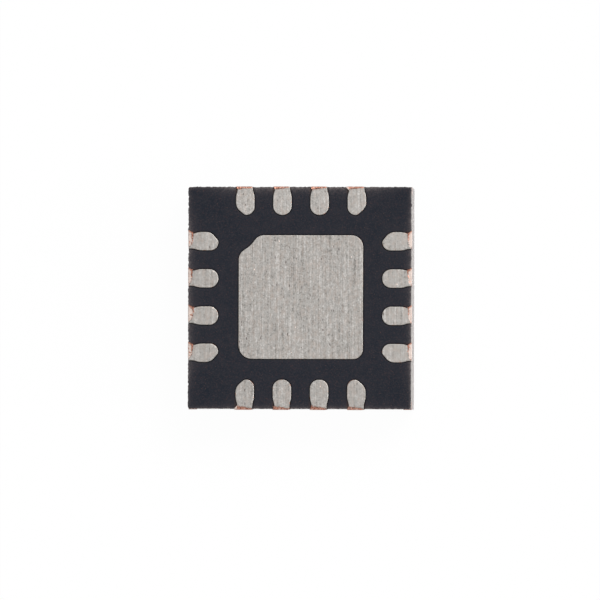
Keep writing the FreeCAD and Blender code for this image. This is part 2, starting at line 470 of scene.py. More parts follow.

# %% [markdown]
# ## Matte tin
# Plated tin is a fine-grained grey metal. The rolled copper under it leaves streaks, all along
# Y, and the skin has small dark pits and a few bright flecks. Streaks come from noise that is
# stretched along Y, so one lookup gives hundreds of lines. Four attributes of the mesh steer it:
# `bright` scales the colour and `contrast` how much it varies, `torn` darkens the rim near the saw
# cut as painted shade along the torn edge, and `rim` lets copper glow through where the tin is thin.

# %% Tin material
TIN_DARK = (0.218, 0.208, 0.194)
TIN_MID = (0.378, 0.362, 0.343)
TIN_LIGHT = (0.520, 0.502, 0.482)
TIN_WARM = (0.400, 0.335, 0.295)
PIT = (0.160, 0.140, 0.132)
FLECK = (0.86, 0.72, 0.64)
TORN_EDGE_SHADE = (0.170, 0.158, 0.150)
TIN_THIN = (0.440, 0.235, 0.170)
MIDDLE_TONE = 0.56


def tin_material():
    """Grey metal with hair-fine streaks along Y, grain, slit-like pits and a few bright flecks."""
    material, tree, shader = new_material("matte_tin")
    streak = noise(tree, (62000, 1500, 5000), 1.0)
    broad = noise(tree, (30000, 900, 5000), 1.0, (3, 7, 0))
    grain = noise(tree, (64000, 56000, 30000), 1.0, (11, 5, 2))
    tint = noise(tree, (30000, 12000, 9000), 3.0, (8, 1, 4), 0.7)
    mottle = noise(tree, (24000, 15000, 15000), 1.0, (7, 2, 9))
    tone = weighted(tree, (streak, 0.33), (broad, 0.19), (grain, 0.37), (mottle, 0.23))
    spread = math_node(tree, "SUBTRACT", tone, MIDDLE_TONE)
    tone = math_node(tree, "ADD", times(tree, spread, attribute(tree, "contrast")), MIDDLE_TONE)
    pits = spots(tree, (42000, 15000, 30000), 0.37, 0.036)
    thin = between(tree, noise(tree, 26000, 1.0, (6, 3, 8)), 0.62, 0.68)
    colour = layered(
        tree, TIN_DARK,
        (between(tree, tone, 0.39, MIDDLE_TONE), TIN_MID),
        (between(tree, tone, MIDDLE_TONE, 0.71), TIN_LIGHT),
        (between(tree, tint, 0.42, 0.70, 0.0, 0.50), TIN_WARM),
        (pits, PIT),
        (spots(tree, (36000, 26000, 26000), 0.30, 0.008, (5, 9, 3)), FLECK),
        # painted shade along the torn rim near the saw cut
        (attribute(tree, "torn"), TORN_EDGE_SHADE, 0.55),
        (attribute(tree, "rim"), TIN_THIN, thin))
    scaled = {0: colour, "Scale": attribute(tree, "bright")}
    height = math_node(tree, "SUBTRACT", tone, times(tree, pits, 0.4))
    fill(tree, shader, {
        "Base Color": add(tree, "VectorMath", scaled, operation="SCALE")[0],
        "Metallic": 1.0,
        "Roughness": between(tree, grain, 0.3, 0.7, 0.40, 0.54),
        "Normal": bump(tree, height, 0.5, 3 * UM),
    })
    return material


TIN = tin_material()
print("made", TIN.name)

# %% [markdown]
# ## Black epoxy
# The moulding compound is mostly fine silica in black resin. Its cast face is a cool near-black
# with faint warm grains; towards the saw cuts the grain shows more and turns brownish, and the
# sawn walls are a lighter, dusty grey, with the grains cut open. Attributes from the mesh tell the
# shader where it is: `gap` is 1 in the narrow gap round each metal face, which is painted near-black
# as shade, `edge` is strongest at the saw cut and dies away within a few hundredths of a millimetre,
# `rim` does so more slowly, and `neck_shade` marks a painted warm shade beside each neck, on the side
# the blade dragged the copper to.

# %% Epoxy material
EPOXY_CAST = (0.0052, 0.0092, 0.0164)
EPOXY_RIM = (0.0270, 0.0250, 0.0305)
EPOXY_EDGE = (0.1500, 0.1280, 0.1260)
EPOXY_GRAIN = (0.0330, 0.0290, 0.0340)
EPOXY_WARM = (0.036, 0.022, 0.026)
EPOXY_SAWN = (0.092, 0.087, 0.084)
EPOXY_SAWN_DARK = (0.032, 0.031, 0.032)
SILICA_GRAIN = (0.240, 0.232, 0.222)
COPPER_DUST = (0.420, 0.190, 0.120)
NECK_SHADE_COLOUR = (0.0500, 0.0320, 0.0290)
GAP_SHADE = (0.0040, 0.0038, 0.0050)


def epoxy_material():
    """The cast faces: smooth black resin with faint grains, dusty along the sawn edges."""
    material, tree, shader = new_material("cast_epoxy")
    fine = noise(tree, 64000, 1.0)
    warm = noise(tree, 58000, 0.0, (3, 1, 7))
    clouds = noise(tree, 8200, 2.0, (4, 4, 4))
    fill(tree, shader, {
        "Base Color": layered(
            tree, EPOXY_CAST,
            (attribute(tree, "rim"), EPOXY_RIM),
            (between(tree, fine, 0.45, 0.75, 0.0, 0.56), EPOXY_GRAIN),
            (between(tree, clouds, 0.35, 0.70, 0.0, 0.16), EPOXY_GRAIN),
            (between(tree, warm, 0.55, 0.78, 0.0, 0.42), EPOXY_WARM),
            (spots(tree, 60000, 0.42, 0.05, (2, 6, 4)), COPPER_DUST, 0.085),
            (attribute(tree, "edge"), EPOXY_EDGE, between(tree, fine, 0.25, 0.75, 0.20, 1.15)),
            # painted shade: near-black in the narrow gap round each metal face
            (attribute(tree, "gap"), GAP_SHADE),
            # painted warm shade in an oval beside each neck, on the dragged side
            (attribute(tree, "neck_shade"), NECK_SHADE_COLOUR, 0.85)),
        "Roughness": between(tree, fine, 0.3, 0.7, 0.50, 0.66),
        "Specular IOR Level": 0.13,
        "Normal": bump(tree, fine, 0.30, 3 * UM),
    })
    return material


def sawn_material():
    """The walls: long fine scratches, cut silica grains, small holes and a trace of copper dust."""
    material, tree, shader = new_material("sawn_epoxy")
    scratch = noise(tree, (3200, 3200, 110000), 4.0, (2, 9, 1), 0.6)
    bands = noise(tree, (1200, 1200, 16000), 2.0, (5, 5, 1))
    fine = noise(tree, 70000, 2.0)
    tone = weighted(tree, (scratch, 0.65), (bands, 0.35))
    holes = spots(tree, 34000, 0.32, 0.06, (2, 8, 6))
    height = math_node(tree, "SUBTRACT", tone, times(tree, holes, 0.6))
    fill(tree, shader, {
        "Base Color": layered(
            tree, EPOXY_SAWN_DARK,
            (between(tree, tone, 0.36, 0.64), EPOXY_SAWN),
            (between(tree, fine, 0.40, 0.75, 0.0, 0.55), EPOXY_SAWN),
            (spots(tree, 30000, 0.36, 0.22, (1, 2, 3)), SILICA_GRAIN, 0.62),
            (spots(tree, 62000, 0.40, 0.30, (7, 5, 2)), SILICA_GRAIN, 0.62),
            (holes, EPOXY_CAST),
            (spots(tree, 60000, 0.36, 0.02, (9, 1, 4)), COPPER_DUST)),
        "Roughness": between(tree, fine, 0.3, 0.7, 0.50, 0.70),
        "Specular IOR Level": 0.30,
        "Sheen Weight": 0.80,
        "Sheen Roughness": 0.30,
        "Sheen Tint": (0.98, 0.925, 0.905, 1.0),
        "Normal": bump(tree, height, 0.55, 4 * UM),
    })
    return material


EPOXY = epoxy_material()
SAWN_EPOXY = sawn_material()
print("made", EPOXY.name, "and", SAWN_EPOXY.name)

# %% [markdown]
# ## Bare copper
# Where the blade went through, it tore the tin back and dragged soft copper with it. Fresh
# copper is orange with dark rusty lines. Where a smooth stretch would face the lamps, a pale pink
# painted highlight is mixed into its colour; the attribute `shine` marks those stretches on the
# dragged pieces.

# %% Copper material
COPPER_RUST = (0.235, 0.100, 0.074)
COPPER_MID = (0.500, 0.250, 0.180)
COPPER_HIGHLIGHT = (0.600, 0.500, 0.450)


def copper_material(name, lines, shiny):
    """Orange metal with dark lines, which repeat so many times for each metre."""
    material, tree, shader = new_material(name)
    scratch = noise(tree, lines, 3.0, rough=0.6)
    low, high = (0.41, 0.53) if shiny else (0.30, 0.58)
    colour = mix(tree, between(tree, scratch, low, high), COPPER_RUST, COPPER_MID)
    rough = between(tree, scratch, 0.3, 0.7, 0.46, 0.34)
    if shiny:
        # painted highlight: pale pink, less metallic and rougher where `shine` marks it
        pale = times(tree, attribute(tree, "shine"), between(tree, scratch, 0.24, 0.34))
        colour = mix(tree, pale, colour, COPPER_HIGHLIGHT)
        rough = math_node(tree, "ADD", rough, times(tree, pale, 0.22))
        finish = {"Metallic": math_node(tree, "SUBTRACT", 1.0, times(tree, pale, 0.85))}
    else:
        finish = {"Metallic": 1.0, "Sheen Weight": 0.70, "Sheen Roughness": 0.30}
    fill(tree, shader, finish)
    normal = bump(tree, scratch, 0.5, 3 * UM)
    fill(tree, shader, {"Base Color": colour, "Roughness": rough, "Normal": normal})
    return material


COPPER_ENDS = copper_material("sawn_copper", (6000, 6000, 95000), False)
COPPER_DRAGGED = copper_material("dragged_copper", 60000, True)
print("made", COPPER_ENDS.name, "and", COPPER_DRAGGED.name)

# %% [markdown]
# ## What stays inside
# The silicon, its glue and the bond wires are sealed in the epoxy. They keep their solids and
# get plain procedural finishes, so that the part also looks right when it is taken apart.

# %% Materials of the sealed pieces
def speckled(name, dark, light, scale, metallic, rough):
    """A finish between two tones, mixed by even noise."""
    material, tree, shader = new_material(name)
    colour = mix(tree, between(tree, noise(tree, scale, 3.0), 0.35, 0.65), dark, light)
    fill(tree, shader, {"Base Color": colour, "Metallic": metallic, "Roughness": rough})
    return material


SILICON = speckled("polished_silicon", (0.09, 0.10, 0.12), (0.16, 0.17, 0.20), 9000, 0.6, 0.12)
GLUE = speckled("silver_glue", (0.34, 0.34, 0.35), (0.55, 0.55, 0.56), 50000, 0.3, 0.45)
GOLD = speckled("gold_wire", (0.80, 0.52, 0.18), (0.95, 0.68, 0.30), 40000, 1.0, 0.25)


def dress(node, material):
    """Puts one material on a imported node's object."""
    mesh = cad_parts[node].data
    mesh.materials.clear()
    mesh.materials.append(material)


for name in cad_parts:
    if name.startswith("bond_wire"):
        dress(name, GOLD)
    elif name.startswith("lead_") and "plating" not in name or name == "die_pad":
        dress(name, COPPER_ENDS)
dress("die", SILICON)
dress("die_attach", GLUE)
print("dressed", sum(len(o.data.materials) > 0 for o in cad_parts.values()), "nodes")

# %% [markdown]
# ## Plated skins
# The tin on a land or on the pad is a thin slab with a rolled rim. A square grid is fitted to
# the outline: in the middle it stays straight, so relief along Y is even, and towards the rim
# each point slides along its ray from the middle until the last ring lies on the outline. The
# height follows a quarter circle near the rim, and a skirt hangs down into the gap round it.

# %% Fit a square grid to an outline
RIM_R = 8 * UM
RIM_LINES = 5
NEXT_LINE = 2.2
TINY = 1e-9


def square_steps(half, cells):
    """Grid lines from -1 to 1: even in the middle and close together where the rim curves."""
    curve = 1 - np.cos(np.linspace(0, math.pi / 2, RIM_LINES))
    edge = 1 - np.append(curve, NEXT_LINE) * RIM_R / half
    inside = np.linspace(-edge[-1], edge[-1], cells)
    return np.concatenate([-edge[:-1], inside, edge[:-1][::-1]])


def fit_grid(outline, cells, hold):
    """Square grid points moved along rays from the middle so that the last ring is the outline.

    With s the larger of |u| and |v|, a point keeps its place up to s = hold and reaches the
    outline at s = 1, by the smooth weight between them."""
    low, high = outline.min(axis=0), outline.max(axis=0)
    centre, half = (low + high) / 2, (high - low) / 2
    u, v = np.meshgrid(*map(square_steps, half, cells), indexing="xy")
    unit = (outline - centre) / half
    angle = np.arctan2(unit[:, 1], unit[:, 0])
    order = np.argsort(angle)
    angle, reach = angle[order], np.hypot(*unit.T)[order]
    angle = np.concatenate([angle - 2 * math.pi, angle, angle + 2 * math.pi])
    rays = np.interp(np.arctan2(v, u), angle, np.tile(reach, 3))
    s = np.maximum(np.abs(u), np.abs(v))
    square = np.hypot(u, v) / np.maximum(s, TINY)
    slide = 1 + (rays / np.maximum(square, TINY) - 1) * smooth(ramp(s - hold, 1 - hold))
    return np.stack([u, v], axis=-1) * slide[..., None] * half + centre


def ring_numbers(rows, cols):
    """Point numbers round the border of a grid, in the turning sense that keeps its faces outwards."""
    n = np.arange(rows * cols).reshape(rows, cols)
    return np.concatenate([n[0, :-1], n[:-1, -1], n[-1, :0:-1], n[:0:-1, 0]])


print("a 4 by 4 grid has", len(ring_numbers(4, 4)), "points on its border")

# %% One skin of tin
LINE_SIZE = um(26, 420)
LINE_HEIGHT = 1.1 * UM
WAVE_SIZE = um(190, 240)
WAVE_HEIGHT = 1.2 * UM
SKIRT, THIN_WIDTH = um(12, 6)
TORN_WIDTH, TORN_FROM_WALL, TORN_FADE = um(12, 95, 20)


def tin_relief(points, seed):
    """Height of the rolled lines, which run along Y, plus that of soft waves below the face."""
    lines = rough_noise(*(points / LINE_SIZE).T, seed, 2) - 0.5
    waves = soft_noise(*(points / WAVE_SIZE).T, seed + 9) - 1.5
    return lines * LINE_HEIGHT + waves * WAVE_HEIGHT


def plated_skin(name, node, outline, cells, hold, seed, bright, contrast):
    """A slab of tin: rolled rim, faint relief along Y, and a skirt down into the gap.

    cells counts the grid's lines along X and Y. The marks bright and contrast are the same all
    over, torn is 1 on the rim near the sawn walls, and rim is 1 on all of the rim."""
    flat = fit_grid(outline, cells, hold)
    rows, cols = flat.shape[:2]
    points = flat.reshape(-1, 2)
    inside = np.maximum(-signed_distance(points, outline)[0], 0)
    border = ring_numbers(rows, cols)
    inside[border] = 0
    t = ramp(inside, RIM_R)
    rolled = EPOXY_TOP + TIN_T - RIM_R + RIM_R * np.sqrt(1 - (1 - t) ** 2)
    shell = np.column_stack([points, rolled + t * tin_relief(points, seed)])
    skirt = np.column_stack([points[border], np.full(len(border), EPOXY_TOP - SKIRT)])
    start = len(shell)
    ring = np.arange(len(border))
    after = (ring + 1) % len(border)
    sides = np.stack([border, start + ring, start + after, border[after]], axis=1)
    faces = grid_quads(rows, cols).tolist() + sides.tolist() + [(start + ring[::-1]).tolist()]
    to_wall = np.min((HALF_X, HALF_Y) - np.abs(points), axis=1)
    # torn: painted shade that darkens the rim beside the torn edge near the sawn walls
    torn = bell(inside, TORN_WIDTH) * ramp(TORN_FROM_WALL - to_wall, TORN_FADE)
    rim = bell(inside, THIN_WIDTH)
    every = np.ones(len(shell) + len(skirt))
    marks = {"bright": every * bright, "contrast": every * contrast}
    marks["torn"] = np.concatenate([torn, torn[border]])
    marks["rim"] = np.concatenate([rim, rim[border]])
    return make_piece(name, np.vstack([shell, skirt]), faces, [TIN], node, marks)


pad_skin = plated_skin("pad_tin", "pad_plating", pad_outline(), (170, 170), 0.55, 21, 1.03, 1.0)
print("pad skin has", len(pad_skin.data.polygons), "faces")

# %% [markdown]
# ## Tin on the lands, torn at the saw cut
# The tin stops short of the wall along a ragged, slanted line: furthest back at the edge that
# the blade left last. On two sides the line drops off late and on the others it slants evenly, so
# each side has its own power, and its own share of the neck where the tin is whole again. Each
# land gets its own depth, tone and random seed.

# %% Sixteen land skins
DRAG = (-1, -1, 1, 1)
DEEP = um(30, 44, 36, 58)
SHALLOW = um(10, 26, 10, 3)
DROP = (1.0, 1.2, 1.4, 2.6)
TORN_END = (1.01, 0.94, 1.01, 0.90)
TAPER = 0.10
BITE_SIZE, BITE_DEPTH = um(26, 12)
LAND_TONE = (1.11, 1.10, 1.03, 1.04)
LAND_CONTRAST = 0.80
LAND_CELLS = (26, 38)
LAND_HOLD = 0.30
DEPTH_SPREAD = (0.8, 1.15)
TONE_SPREAD = (0.98, 1.02)
pick = np.random.default_rng(4730)
land_depth = {}


def bare_depth(side, deep, share):
    """Depth deep + (shallow - deep) * share ^ drop; share of the neck counts from the dragged edge.

    Over the last TAPER before TORN_END it goes to nothing: from there on the tin reaches the wall."""
    depth = deep + (SHALLOW[side] - deep) * share ** DROP[side]
    return depth * np.sqrt(ramp(TORN_END[side] - share, TAPER))


def torn_line(side, deep, seed):
    """How far out the tin reaches: deep at the dragged edge, shallow at the other, with bites."""
    def reach(v):
        share = np.clip(0.5 - DRAG[side] * v / NECK_W, 0, 1)
        bites = rough_noise(v / BITE_SIZE + 40, seed, seed, 2) - 0.5
        return wall_from_frame(side) - bare_depth(side, deep, share) + bites * BITE_DEPTH
    return reach


for side, slot in LANDS:
    deep = DEEP[side] * pick.uniform(*DEPTH_SPREAD)
    tone = LAND_TONE[side] * pick.uniform(*TONE_SPREAD)
    land_depth[side, slot] = deep
    seed = 40 + side * 4 + slot
    outline = land_outline(side, slot, torn_line(side, deep, seed))
    cells = LAND_CELLS if side % 2 == 0 else LAND_CELLS[::-1]
    name, node = (kind + land_name(side, slot) for kind in ("land_tin_", "lead_plating_"))
    plated_skin(name, node, outline, cells, LAND_HOLD, seed, tone, LAND_CONTRAST)
print("land skins:", len(land_depth))

# %% [markdown]
# ## The epoxy block
# The upper face is a grid of points. Points near a land's outline are first snapped onto it, so
# that the narrow gap there is a clean line and not a staircase; inside an outline the face
# drops away, because metal fills that place. The sawn walls follow the same border points down,
# with scratches along the cut, and small chips have broken out of the upper edge.

# %% Upper face
GRID = 221
POCKET, REACH = um(32, 480)
SNAP = 0.5
FAR = 1.0
cell = 2 * HALF_X / (GRID - 1)
steps_x, steps_y = (np.linspace(-half, half, GRID) for half in (HALF_X, HALF_Y))
flat = np.stack(np.meshgrid(steps_x, steps_y, indexing="xy"), axis=-1).reshape(-1, 2)
distance = np.full(len(flat), FAR)
for outline in [pad_outline()] + [land_outline(side, slot) for side, slot in LANDS]:
    low, high = outline.min(axis=0) - REACH, outline.max(axis=0) + REACH
    near = np.flatnonzero(((flat > low) & (flat < high)).all(axis=1))
    gap, normal = signed_distance(flat[near], outline)
    snap = np.abs(gap) < SNAP * cell
    flat[near[snap]] -= normal[snap] * gap[snap, None]
    gap = np.where(snap, 0.0, gap)
    closer = gap < distance[near]
    distance[near[closer]] = gap[closer]
flat = np.clip(flat, (-HALF_X, -HALF_Y), (HALF_X, HALF_Y))
print("upper face:", len(flat), "points,", int((distance < 0).sum()), "under metal")

# %% [markdown]
# ### What the shader is told
# `gap` follows the outlines and carries the painted shade of the gap, and `rim` fades from the
# walls and from the metal. `edge` fades from the walls, and beside the lands dust and a wider band
# add to it: each side has its own strength, and their two reaches count from the wall and from the
# metal. `neck_shade` is an oval of painted warm shade beside each neck.

# %% Height and marks of the upper face
GAP_DEPTH, GAP_WIDTH, SINK = um(6, 9, 1.3)
GRAIN_SIZE, GRAIN_HEIGHT, SAG_SIZE, SAG_HEIGHT = um(30, 1.0, 500, 1.5)
RIM_AT_WALL, RIM_AT_WALL_REACH = 0.75, 45 * UM
RIM_AT_METAL, RIM_AT_METAL_REACH = 0.30, 260 * UM
EDGE_AT_WALL, EDGE_AT_WALL_REACH = 0.5, 14 * UM
DUST, DUST_REACH = (0.72, 0.40, 0.25, 0.50), um(30, 230)
BAND, BAND_REACH = (0.34, 0.07, 0.0, 0.14), um(55, 280)
SHADE_PAST_NECK, SHADE_WIDTH, SHADE_FROM_WALL, SHADE_LENGTH = um(10, 20, 50, 48)
outside = np.maximum(distance, 0)
# The gap is both a shallow groove and a band of painted shade round each metal face.
gap_mark = bell(outside, GAP_WIDTH)
grain = rough_noise(*(flat / GRAIN_SIZE).T, 77, 2) - 0.5
sag = soft_noise(*(flat / SAG_SIZE).T, 78) - 0.5
height = EPOXY_TOP - GAP_DEPTH * gap_mark + GRAIN_HEIGHT * grain + SAG_HEIGHT * sag - SINK
height[distance < 0] = EPOXY_TOP - POCKET
to_walls = [HALF_Y - flat[:, 1], HALF_X - flat[:, 0], HALF_Y + flat[:, 1], HALF_X + flat[:, 0]]
from_wall, closest = np.min(to_walls, axis=0), np.argmin(to_walls, axis=0)
rim_mark = RIM_AT_WALL * fade(from_wall, RIM_AT_WALL_REACH)
rim_mark += RIM_AT_METAL * fade(outside, RIM_AT_METAL_REACH)
edge_mark = EDGE_AT_WALL * fade(from_wall, EDGE_AT_WALL_REACH)
for strength, (wall_reach, metal_reach) in ((DUST, DUST_REACH), (BAND, BAND_REACH)):
    near_land = np.array(strength)[closest] * bell(outside, metal_reach)
    edge_mark += near_land * fade(from_wall, wall_reach)
edge_mark = np.minimum(edge_mark, 1)
# An oval of painted warm shade beside each neck, on the side the blade dragged the copper to.
neck_shade_mark = np.zeros(len(flat))
x, y = (flat - (FRAME_X, FRAME_Y)).T
for side, slot in LANDS:
    v, r = ((x, y), (-y, x), (-x, -y), (y, -x))[side]
    past_neck = DRAG[side] * (v - (slot - 1.5) * PITCH) - NECK_W / 2
    shade_oval = bell(past_neck - SHADE_PAST_NECK, SHADE_WIDTH)
    shade_oval *= bell(wall_from_frame(side) - r - SHADE_FROM_WALL, SHADE_LENGTH)
    neck_shade_mark = np.maximum(neck_shade_mark, shade_oval)
top_points = np.column_stack([flat, height])
print("gap reaches %.1f um below the face" % (GAP_DEPTH / UM))

# %% [markdown]
# ### The ragged upper edge
# Each wall's upper edge is pushed in or out a little, with ragged noise, chips, a slow bow and worn
# corners. The points further in move with it, less and less, so that no face of the grid folds
# over. Beside metal nothing moves.

# %% Ragged upper edge
SPREAD, CLEAR, EDGE_DROP = um(80, 15, 3)
PUSH = um(-8, -8, -4, -12)
RAGGED, RAGGED_SIZE = um(14, 26, 28, 14), 22 * UM
CHIP, CHIP_SIZE, CHIP_FROM = 26 * UM, 34 * UM, 0.66
BOW, BOW_SIZE, WORN, WORN_SIZE = um(3, 700, 9, 13)


def edge_inset(along, side):
    """How far inwards a wall's upper edge lies at each place along it."""
    ragged = rough_noise(along / RAGGED_SIZE, side * 17.3, 90, 3)
    chips = np.clip(soft_noise(along / CHIP_SIZE, side * 31.7, 95) - CHIP_FROM, 0, 1)
    bow = soft_noise(along / BOW_SIZE, side * 5.1, 97)
    worn = fade(half_block(side + 1) - np.abs(along), WORN_SIZE)
    return PUSH[side] + ragged * RAGGED[side] + chips * CHIP + bow * BOW + worn * WORN


def inset_edges(xy, clear):
    """Points near a wall move inwards: by the whole inset at the wall, and not at all from SPREAD on.

    clear is 0 beside metal, which stays where it is, and 1 away from it."""
    moved = xy.copy()
    for side in range(4):
        axis = 1 - side % 2
        sign = 1 if side < 2 else -1
        share = ramp(SPREAD - half_block(side) + sign * xy[:, axis], SPREAD) * clear
        moved[:, axis] -= sign * share * edge_inset(xy[:, 1 - axis], side)
    return moved


border = ring_numbers(GRID, GRID)
top_points[:, :2] = inset_edges(flat, ramp(outside, CLEAR))
top_points[border, 2] -= np.where(distance[border] <= 0, 0, EDGE_DROP)
upper_edge = top_points[border, :2]
print("edge moves by up to %.1f um" % (np.abs(upper_edge - flat[border]).max() / UM))

# %% Sawn walls
WALL_ROWS = 40
ROW_POWER = 1.25
ROW_DROP, EDGE_REACH = um(0.2, 22)
WALL_IN = np.array(um(1.5, 1.5, 6.5, 1.5))
SCRATCH, SCRATCH_SIZE = 3 * UM, um(160, 14)
HOLE, HOLE_SIZE, HOLE_FROM = 26 * UM, 26 * UM, 0.8
edge_xy = flat[border]
on_x = np.abs(np.abs(edge_xy[:, 0]) - HALF_X) < UM
along = np.where(on_x, edge_xy[:, 1], edge_xy[:, 0])
side_code = np.where(on_x, np.where(edge_xy[:, 0] > 0, 1, 3), np.where(edge_xy[:, 1] > 0, 0, 2))


def push_in(xy, amount):
    """Moves border points inwards from whichever walls they lie on."""
    on_wall = np.abs(np.abs(xy) - (HALF_X, HALF_Y)) < UM
    return xy - np.where(on_wall, np.sign(xy) * amount[:, None], 0)


levels = EPOXY_TOP * (1 - np.linspace(0, 1, WALL_ROWS + 1)[1:] ** ROW_POWER)
walls = []
for row, level in enumerate(levels):
    scratches = rough_noise(along / SCRATCH_SIZE[0] + side_code * 11, level / SCRATCH_SIZE[1], 101, 3)
    holes = soft_noise(along / HOLE_SIZE, level / HOLE_SIZE + side_code * 9, 105) - HOLE_FROM
    inwards = WALL_IN[side_code] + scratches * SCRATCH + np.clip(holes, 0, 1) * HOLE
    sawn = push_in(edge_xy, inwards)
    sawn += (upper_edge - sawn) * fade(EPOXY_TOP - level, EDGE_REACH)
    below_edge = top_points[border, 2] - (row + 1) * ROW_DROP
    walls.append(np.column_stack([sawn, np.clip(below_edge, 0, level)]))
print("walls:", len(walls), "rings of", len(border), "points")

# %% Marked face with its pin 1 dot
BEVEL, FLAT_FROM = um(4, 14)
DOT_IN, DOT_R, DOT_DEPTH = um(420, 180, 20)
DOT_PROFILE = ((4, 0), (0, 2), (-5, 18), (-9, 20), (-90, 20))
dot_centre = np.array([DOT_IN - HALF_X, HALF_Y - DOT_IN])
ray = walls[-1][:, :2] - dot_centre
length = np.linalg.norm(ray, axis=1)[:, None]
walls[-1][:, 2] = BEVEL
wall_points = np.concatenate(walls)
rings = [(length - BEVEL, 0), (length - FLAT_FROM, 0)]
rings += [(DOT_R + (length - DOT_R) * share, 0) for share in (0.5, 0.1, 0.02)]
rings += [(np.full_like(length, DOT_R + out * UM), up * UM) for out, up in DOT_PROFILE]
floor_points = np.concatenate([
    np.column_stack([dot_centre + ray / length * reach, np.full(len(ray), level)])
    for reach, level in rings])
print("marked face:", len(floor_points), "points")

# %% Join the block
def block_mark(top, wall):
    """One number for each point: the upper face's own, one for all of the walls, then 0."""
    return np.concatenate([top, np.full(len(wall_points), wall), np.zeros(len(floor_points) + 1)])


n_top, n_ring = len(top_points), len(border)
loops = [border] + [n_top + k * n_ring + np.arange(n_ring) for k in range(WALL_ROWS + len(rings))]
bands = []
for upper, lower in zip(loops[:-1], loops[1:]):
    bands.append(np.stack([upper, lower, np.roll(lower, -1), np.roll(upper, -1)], axis=1))
middle = n_top + n_ring * (WALL_ROWS + len(rings))
fan = np.stack([loops[-1], np.full(n_ring, middle), np.roll(loops[-1], -1)], axis=1)
block_points = np.vstack([top_points, wall_points, floor_points, [[*dot_centre, DOT_DEPTH]]])
block_faces = grid_quads(GRID, GRID).tolist() + np.concatenate(bands).tolist() + fan.tolist()
marks = {
    "gap": block_mark(np.where(distance < 0, 1, gap_mark), 0),
    "rim": block_mark(rim_mark, 1),
    "edge": block_mark(edge_mark, 1),
    "neck_shade": block_mark(neck_shade_mark, 0),
}
picks = np.zeros(len(block_faces))
picks[(GRID - 1) ** 2:][:n_ring * WALL_ROWS] = 1
finishes = [EPOXY, SAWN_EPOXY]
block = make_piece(
    "epoxy_block", block_points, block_faces, finishes, "mould_body", marks, picks)
print("block:", len(block.data.polygons), "faces")

# %% [markdown]
# ## Copper dragged by the blade
# At every land the saw rolled a ragged strip of copper over the edge. It starts a little way
# down the wall, bends over the edge and ends on the land, deepest at the side that the blade
# dragged it to, where it also hangs over the epoxy. The strip is one profile carried along the
# edge, with its depth, height and border changed by noise at every station. On the `LATERAL`
# sides a pale pink painted highlight covers it, apart from a `SHADED` start and a border that is
# orange up to `BORDERED`.

# %% Shape of a dragged strip
STATIONS = 84
PROFILE = np.array([
    (1.0, -34, 0), (4.0, -26, 0), (5.0, -14, 0), (4.5, -3, 0), (1.0, 5, 0),
    (0, 8, 0.10), (0, 9, 0.25), (0, 9, 0.42), (0, 10, 0.58), (0, 11, 0.72),
    (0, 13, 0.83), (0, 15, 0.91), (0, 15, 0.97), (0, 8, 1.0)])
OVERHANG = um(26, 44, 26, 50)
HOOKED = {(0, 3): 46 * UM, (2, 3): 40 * UM}
LATERAL = (0, 1, 0, 1)
SHADED = (0, 0.26, 0, 0.34)
BORDERED = (0, 0.45, 0, 0.75)
JAGGED = (1.20, 0.60, 1.00, 0.55)
STRIP_OVERLAP, STRIP_SHORT = um(8, 10)
RIDGE, LIFT, SLANT, WANDER, ORANGE = um(5, 7, 16, 4, 15)
SHEET, UNDER, BEHIND_WALL = um(3, 4, 1)
PAST_END, THIN_END = 1.01, 0.04


def raised(xy, z):
    """Points of the plane with a height above the epoxy's face."""
    return np.concatenate([xy, (EPOXY_TOP + z)[..., None]], axis=-1)


def strip_depth(side, slot, from_drag, seed):
    """Depth inwards at each share of the neck's width, counted from the dragged edge."""
    depth = bare_depth(side, land_depth[side, slot], from_drag) + STRIP_OVERLAP
    bites = rough_noise(from_drag * 15, seed, seed, 2) - 0.5
    return depth * (1 + JAGGED[side] * bites)


def strip_shine(side, slot, t, from_drag, beyond, depth, seed):
    """How much painted highlight each point takes: on the lateral sides all but a broken orange
    border.

    On the other two only small patches shine, and the curls that hang over the epoxy."""
    share = PROFILE[:, 2]
    glow = rough_noise(t * 12, np.arange(len(share)) * 0.5 + seed, seed + 12, 2)
    if not LATERAL[side]:
        curled = (side, slot) in HOOKED
        return ramp(glow - 0.62, 0.20) + curled * beyond * (share < 0.8)
    dashes = ramp(soft_noise(t * 13, seed, seed + 15) - 0.25, 0.25)
    orange = ORANGE * dashes * ramp(BORDERED[side] - from_drag, 1 / 6)
    shine = ramp(0.99 - orange / depth - share, 1 / 12) * ramp(glow - 0.20, 1 / 9)
    shaded = SHADED[side] * glow * (0.35 + 1.1 * share)
    return shine * ramp(t - shaded, 1 / 14)


